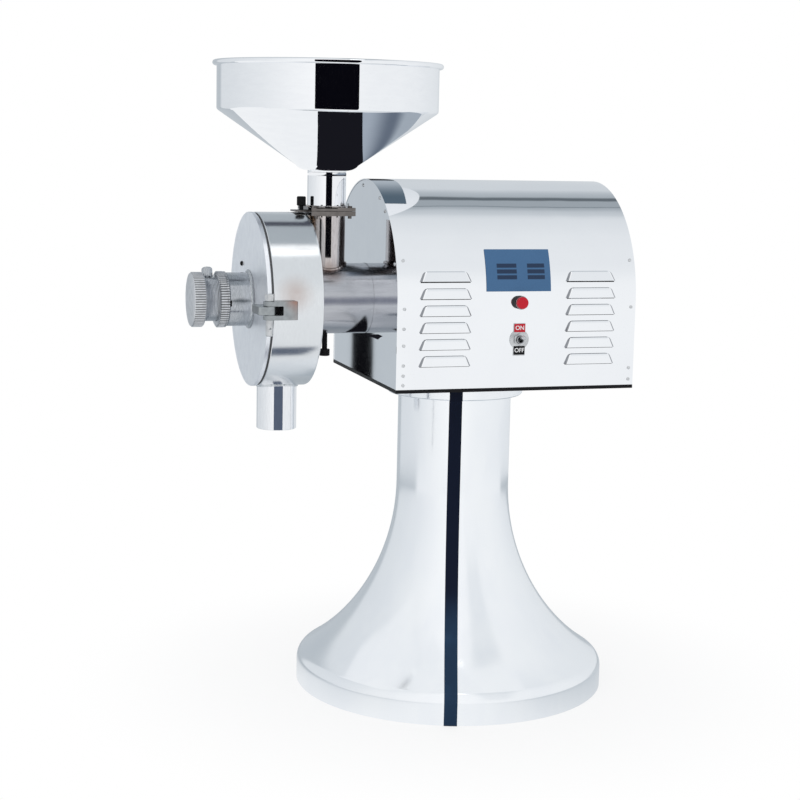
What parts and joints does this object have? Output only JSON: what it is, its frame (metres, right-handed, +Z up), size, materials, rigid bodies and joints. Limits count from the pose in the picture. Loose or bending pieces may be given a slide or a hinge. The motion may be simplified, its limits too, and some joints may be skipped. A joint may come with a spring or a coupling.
{
  "type": "electric grain mill",
  "caption": "Pedestal grain mill: hopper and slide gate feed an auger and toothed discs in a drum with a hinged cover and gap adjuster; a motor housing sits behind.",
  "frame": {"origin": "on the floor, under the centre of the pedestal's round base", "axes": "+Z up; the spindle runs along X with the grinding head at -X; the switch side faces -Y"},
  "size_m": [0.6202, 0.454, 0.9017],
  "materials": {
    "mirror_steel": "mirror-polished stainless sheet",
    "satin_steel": "turned and satin stainless steel",
    "dark_steel": "hardened steel, dark satin",
    "cast_iron": "cast, painted grey",
    "navy_strip": "dark navy gloss trim",
    "black_paint": "black painted or blackened steel",
    "blue_plate": "blue printed foil plate",
    "black_plastic": "black moulded plastic",
    "red_plastic": "red moulded plastic",
    "motor_grey": "painted grey",
    "silicone": "dark grey silicone",
    "brass": "machined brass"
  },
  "bodies": {
    "machine": {"stand_base_plate": "cast_iron", "stand_shell": "mirror_steel", "stand_trim_strip": "navy_strip", "stand_column": "cast_iron", "stand_collar": "mirror_steel", "base_plate": "black_paint", "housing_cover": "mirror_steel", "end_plate_left": "mirror_steel", "end_plate_right": "mirror_steel", "cord_gland": "black_plastic", "data_plate": "blue_plate", "reset_button_body": "black_plastic", "switch_plate": "satin_steel", "toggle_body": "dark_steel", "toggle_nut": "satin_steel", "motor_frame": "motor_grey", "motor_front_bell": "motor_grey", "motor_rear_bell": "motor_grey", "fan_cowl": "motor_grey", "run_capacitor": "black_plastic", "bearing_tube": "satin_steel", "front_bearing": "satin_steel", "rear_bearing": "satin_steel", "shaft_seal": "silicone", "tube_bolt": "black_paint", "feed_pipe": "satin_steel", "hopper_neck": "mirror_steel", "hopper_bowl": "mirror_steel", "drum": "satin_steel", "drum_gasket": "silicone", "outlet_spout": "mirror_steel", "stationary_disc": "dark_steel", "hinge_bracket": "satin_steel", "hinge_pin": "satin_steel", "lock_bracket": "satin_steel", "lock_pin": "satin_steel"},
    "spindle_group": {"spindle": "satin_steel", "feed_auger": "satin_steel", "rotating_disc": "dark_steel", "disc_nut": "brass", "cooling_fan": "black_plastic"},
    "cover": {"front_cover": "mirror_steel", "cover_boss": "satin_steel", "cover_plug": "black_plastic", "hinge_tongue": "satin_steel", "lock_ear": "satin_steel"},
    "thrust_slide": {"thrust_pad": "brass"},
    "adjuster": {"adjuster_sleeve": "satin_steel", "adjuster_knob": "satin_steel", "knob_screw": "satin_steel"},
    "locking_ring": {"lock_ring": "satin_steel"},
    "swing_bolt": {"eye_bolt": "satin_steel"},
    "lock_grip": {"lock_knob": "black_plastic"},
    "gate": {"slide_gate": "satin_steel", "gate_knob": "black_plastic"},
    "reset_button": {"reset_button_cap": "red_plastic"},
    "switch_lever": {"toggle_lever": "satin_steel"}
  },
  "joints": [
    {"name": "spindle_spin", "type": "hinge", "parent": "machine", "child": "spindle_group", "pos_m": [0, 0, 0.572], "axis": [1, 0, 0], "continuous": true},
    {"name": "cover_swing", "type": "hinge", "parent": "machine", "child": "cover", "pos_m": [-0.31, -0.133, 0.572], "axis": [0, 0, 1], "range_deg": [0, 110]},
    {"name": "adjust_feed", "type": "slide", "parent": "cover", "child": "thrust_slide", "axis": [1, 0, 0], "range_m": [-0.004, 0]},
    {"name": "knob_turn", "type": "hinge", "parent": "thrust_slide", "child": "adjuster", "pos_m": [-0.385, 0, 0.572], "axis": [1, 0, 0], "range_deg": [-720, 0]},
    {"name": "lock_ring_turn", "type": "hinge", "parent": "cover", "child": "locking_ring", "pos_m": [-0.35, 0, 0.572], "axis": [1, 0, 0], "range_deg": [-180, 0]},
    {"name": "lock_bolt_swing", "type": "hinge", "parent": "machine", "child": "swing_bolt", "pos_m": [-0.288, 0.137, 0.572], "axis": [0, 0, 1], "range_deg": [0, 90]},
    {"name": "lock_knob_turn", "type": "hinge", "parent": "swing_bolt", "child": "lock_grip", "pos_m": [-0.288, 0.137, 0.572], "axis": [0, 1, 0], "range_deg": [0, 720]},
    {"name": "gate_slide", "type": "slide", "parent": "machine", "child": "gate", "axis": [-1, 0, 0], "range_m": [0, 0.053]},
    {"name": "reset_press", "type": "slide", "parent": "machine", "child": "reset_button", "axis": [0, 1, 0], "range_m": [0, 0.003], "stiffness_N_per_m": 400, "springref_m": -0.001},
    {"name": "switch_flip", "type": "hinge", "parent": "machine", "child": "switch_lever", "pos_m": [0.0355, -0.161, 0.529], "axis": [1, 0, 0], "range_deg": [0, 24]}
  ],
  "couplings": [
    {"joint": "adjust_feed", "follows": "knob_turn", "m_per_rad": 0.00031831}
  ]
}
